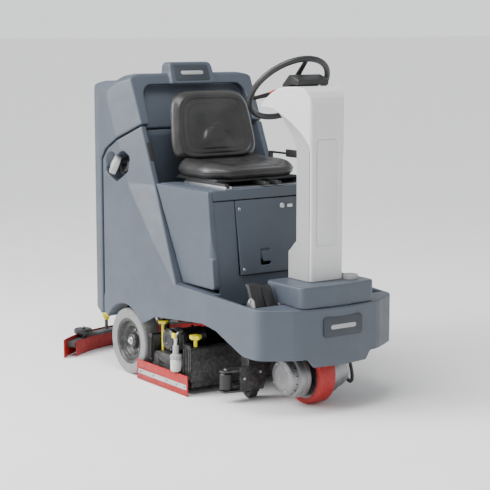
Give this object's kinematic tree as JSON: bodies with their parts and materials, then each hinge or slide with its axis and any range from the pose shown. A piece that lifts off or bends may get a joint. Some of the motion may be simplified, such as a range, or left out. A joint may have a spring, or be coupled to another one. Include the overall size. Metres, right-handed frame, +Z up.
{
  "type": "ride-on floor scrubber",
  "caption": "Ride-on floor scrubber with a steered front drive wheel, a liftable brush deck, a curved rear squeegee, moulded water tanks, a sliding seat and an upright steering column.",
  "frame": {"origin": "on the floor, at the middle of the overall length and width", "axes": "+X forward, +Y the machine's left, +Z up"},
  "size_m": [1.71, 0.9246, 1.4364],
  "materials": {
    "slate_plastic": "rotationally moulded, fine grain",
    "dark_plastic": "moulded, fine grain",
    "pale_plastic": "smooth moulded cover",
    "gray_plastic": "smooth moulded cover",
    "black_plastic": "moulded black plastic",
    "red_plastic": "push button",
    "yellow_plastic": "hand knobs",
    "clear_plastic": "milky strainer bowl",
    "bristle": "nylon bristle rows",
    "gray_tyre": "non-marking gray tyre",
    "red_tyre": "red polyurethane drive tyre",
    "red_rubber": "squeegee and skirt rubber",
    "black_paint": "powder-coated steel",
    "cast_aluminium": "cast and machined housings",
    "bright_steel": "zinc-plated steel",
    "black_vinyl": "stitched black vinyl over foam"
  },
  "bodies": {
    "machine": {"main_body": "slate_plastic", "recovery_tank": "slate_plastic", "battery_box": "slate_plastic", "batteries": "black_plastic", "nose_block": "slate_plastic", "column_front_cover": "pale_plastic", "column_rear_cover": "gray_plastic", "dash_panel": "black_plastic", "display_pod": "black_plastic", "chassis": "black_paint", "vacuum_motor": "black_plastic", "pedal_bracket": "cast_aluminium", "drain_hose": "black_plastic"},
    "drive_unit": {"drive_fork": "black_paint", "drive_motor": "cast_aluminium", "drive_gearbox": "cast_aluminium", "drive_lead": "black_plastic"},
    "drive_wheel": {"drive_tyre": "red_tyre", "drive_hub": "cast_aluminium"},
    "steering": {"steering_wheel": "black_plastic"},
    "rear_wheel_right": {"rear_tyre_right": "gray_tyre", "rear_rim_right": "black_paint"},
    "rear_wheel_left": {"rear_tyre_left": "gray_tyre", "rear_rim_left": "black_paint"},
    "scrub_deck": {"brush_housing": "black_paint", "deck_end_right": "black_paint", "deck_end_left": "black_paint", "brush_motor_right": "black_paint", "brush_motor_left": "black_paint", "filter_bowl": "clear_plastic"},
    "front_brush": {"brush_front": "bristle"},
    "rear_brush": {"brush_rear": "bristle"},
    "knob_rear": {"deck_knob_rear": "yellow_plastic"},
    "knob_front": {"deck_knob_front": "yellow_plastic"},
    "hopper": {"debris_hopper": "black_plastic"},
    "skirt_right": {"side_skirt_right": "red_rubber"},
    "skirt_left": {"side_skirt_left": "red_rubber"},
    "arm": {"squeegee_arm": "black_paint"},
    "squeegee": {"squeegee_frame": "black_paint", "squeegee_blade_rear": "red_rubber", "squeegee_blade_front": "red_rubber"},
    "bumper_roller_right": {"squeegee_roller_right": "black_plastic"},
    "bumper_roller_left": {"squeegee_roller_left": "black_plastic"},
    "blade_knob_right": {"squeegee_knob_right": "yellow_plastic"},
    "blade_knob_left": {"squeegee_knob_left": "yellow_plastic"},
    "deck": {"seat_deck": "slate_plastic", "seat_rails": "bright_steel"},
    "seat": {"seat_pan": "black_paint", "seat_cushion": "black_vinyl", "seat_back": "black_vinyl"},
    "door": {"battery_door": "slate_plastic"},
    "lid": {"tank_lid": "dark_plastic"},
    "stop_button": {"emergency_stop": "red_plastic"},
    "key": {"key_switch": "bright_steel"},
    "accelerator": {"accelerator_pedal": "black_plastic"},
    "brake": {"brake_pedal": "black_plastic"},
    "filler_cap": {"fill_cap": "gray_plastic"},
    "drain_plug": {"drain_cap": "gray_plastic"},
    "side_roller": {"guide_roller": "black_plastic"},
    "caster": {"deck_caster": "black_plastic"}
  },
  "joints": [
    {"name": "drive_unit_steer", "type": "hinge", "parent": "machine", "child": "drive_unit", "pos_m": [0.64, 0, 0.29], "axis": [0, 0, 1], "range_deg": [-75, 75]},
    {"name": "drive_wheel_roll", "type": "hinge", "parent": "drive_unit", "child": "drive_wheel", "pos_m": [0.64, 0, 0.125], "axis": [0, 1, 0], "continuous": true},
    {"name": "steering_turn", "type": "hinge", "parent": "machine", "child": "steering", "pos_m": [0.482, 0, 1.3], "axis": [-0.7009, 0, 0.7133], "range_deg": [-270, 270]},
    {"name": "rear_wheel_right_roll", "type": "hinge", "parent": "machine", "child": "rear_wheel_right", "pos_m": [-0.235, -0.32, 0.15], "axis": [0, 1, 0], "continuous": true},
    {"name": "rear_wheel_left_roll", "type": "hinge", "parent": "machine", "child": "rear_wheel_left", "pos_m": [-0.235, 0.32, 0.15], "axis": [0, 1, 0], "continuous": true},
    {"name": "scrub_deck_lift", "type": "slide", "parent": "machine", "child": "scrub_deck", "axis": [0, 0, 1], "range_m": [0, 0.045]},
    {"name": "brush_front_spin", "type": "hinge", "parent": "scrub_deck", "child": "front_brush", "pos_m": [0.176, 0, 0.067], "axis": [0, 1, 0], "continuous": true},
    {"name": "brush_rear_spin", "type": "hinge", "parent": "scrub_deck", "child": "rear_brush", "pos_m": [0.028, 0, 0.067], "axis": [0, 1, 0], "continuous": true},
    {"name": "deck_knob_rear_turn", "type": "hinge", "parent": "scrub_deck", "child": "knob_rear", "pos_m": [-0.016, -0.312, 0.262], "axis": [0, 0, 1], "continuous": true},
    {"name": "deck_knob_front_turn", "type": "hinge", "parent": "scrub_deck", "child": "knob_front", "pos_m": [0.246, -0.312, 0.238], "axis": [0, 0, 1], "continuous": true},
    {"name": "debris_hopper_draw", "type": "slide", "parent": "scrub_deck", "child": "hopper", "axis": [0, -1, 0], "range_m": [0, 0.6]},
    {"name": "side_skirt_right_swing", "type": "hinge", "parent": "scrub_deck", "child": "skirt_right", "pos_m": [0.0725, -0.375, 0.09], "axis": [-1, 0, 0], "range_deg": [0, 40]},
    {"name": "side_skirt_left_swing", "type": "hinge", "parent": "scrub_deck", "child": "skirt_left", "pos_m": [0.0725, 0.375, 0.09], "axis": [1, 0, 0], "range_deg": [0, 40]},
    {"name": "squeegee_lift", "type": "hinge", "parent": "machine", "child": "arm", "pos_m": [-0.43, 0, 0.19], "axis": [0, 1, 0], "range_deg": [0, 10]},
    {"name": "squeegee_swivel", "type": "hinge", "parent": "arm", "child": "squeegee", "pos_m": [-0.788, 0, 0.1], "axis": [0, 0, 1], "range_deg": [-12, 12]},
    {"name": "squeegee_roller_right_spin", "type": "hinge", "parent": "squeegee", "child": "bumper_roller_right", "pos_m": [-0.754, -0.309, 0.1], "axis": [0, 0, 1], "continuous": true},
    {"name": "squeegee_roller_left_spin", "type": "hinge", "parent": "squeegee", "child": "bumper_roller_left", "pos_m": [-0.754, 0.309, 0.1], "axis": [0, 0, 1], "continuous": true},
    {"name": "squeegee_knob_right_turn", "type": "hinge", "parent": "squeegee", "child": "blade_knob_right", "pos_m": [-0.804, -0.152, 0.146], "axis": [0, 0, 1], "continuous": true},
    {"name": "squeegee_knob_left_turn", "type": "hinge", "parent": "squeegee", "child": "blade_knob_left", "pos_m": [-0.804, 0.152, 0.146], "axis": [0, 0, 1], "continuous": true},
    {"name": "seat_deck_tilt", "type": "hinge", "parent": "machine", "child": "deck", "pos_m": [0.158, 0.3, 0.88], "axis": [-1, 0, 0], "range_deg": [0, 28]},
    {"name": "seat_adjust", "type": "slide", "parent": "deck", "child": "seat", "axis": [1, 0, 0], "range_m": [0, 0.05]},
    {"name": "battery_door_open", "type": "hinge", "parent": "machine", "child": "door", "pos_m": [0.4105, 0, 0.522], "axis": [0, 1, 0], "range_deg": [0, 45]},
    {"name": "tank_lid_open", "type": "hinge", "parent": "machine", "child": "lid", "pos_m": [-0.55, 0, 1.312], "axis": [0, -1, 0], "range_deg": [0, 80]},
    {"name": "emergency_stop_press", "type": "slide", "parent": "machine", "child": "stop_button", "axis": [0.493, 0, -0.87], "range_m": [0, 0.004], "stiffness_N_per_m": 800},
    {"name": "key_turn", "type": "hinge", "parent": "machine", "child": "key", "pos_m": [0.5, -0.06, 1.272], "axis": [0.507, 0, -0.862], "range_deg": [0, 90]},
    {"name": "accelerator_press", "type": "hinge", "parent": "machine", "child": "accelerator", "pos_m": [0.676, -0.289, 0.428], "axis": [0, 1, 0], "range_deg": [0, 15], "stiffness_Nm_per_rad": 4},
    {"name": "brake_press", "type": "hinge", "parent": "machine", "child": "brake", "pos_m": [0.676, -0.231, 0.428], "axis": [0, 1, 0], "range_deg": [0, 12], "stiffness_Nm_per_rad": 6},
    {"name": "fill_cap_turn", "type": "hinge", "parent": "machine", "child": "filler_cap", "pos_m": [0.748, 0.12, 0.53], "axis": [0, 0, 1], "range_deg": [0, 90]},
    {"name": "drain_cap_turn", "type": "hinge", "parent": "machine", "child": "drain_plug", "pos_m": [-0.3245, -0.365, 0.942], "axis": [-0.4134, -0.8268, 0.3814], "range_deg": [0, 120]},
    {"name": "guide_roller_spin", "type": "hinge", "parent": "machine", "child": "side_roller", "pos_m": [0.442, -0.29, 0.091], "axis": [0, 0, 1], "continuous": true},
    {"name": "deck_caster_spin", "type": "hinge", "parent": "machine", "child": "caster", "pos_m": [0.44, -0.162, 0.032], "axis": [0, 1, 0], "continuous": true}
  ],
  "couplings": [
    {"joint": "steering_turn", "follows": "drive_unit_steer", "ratio": 3.6}
  ]
}
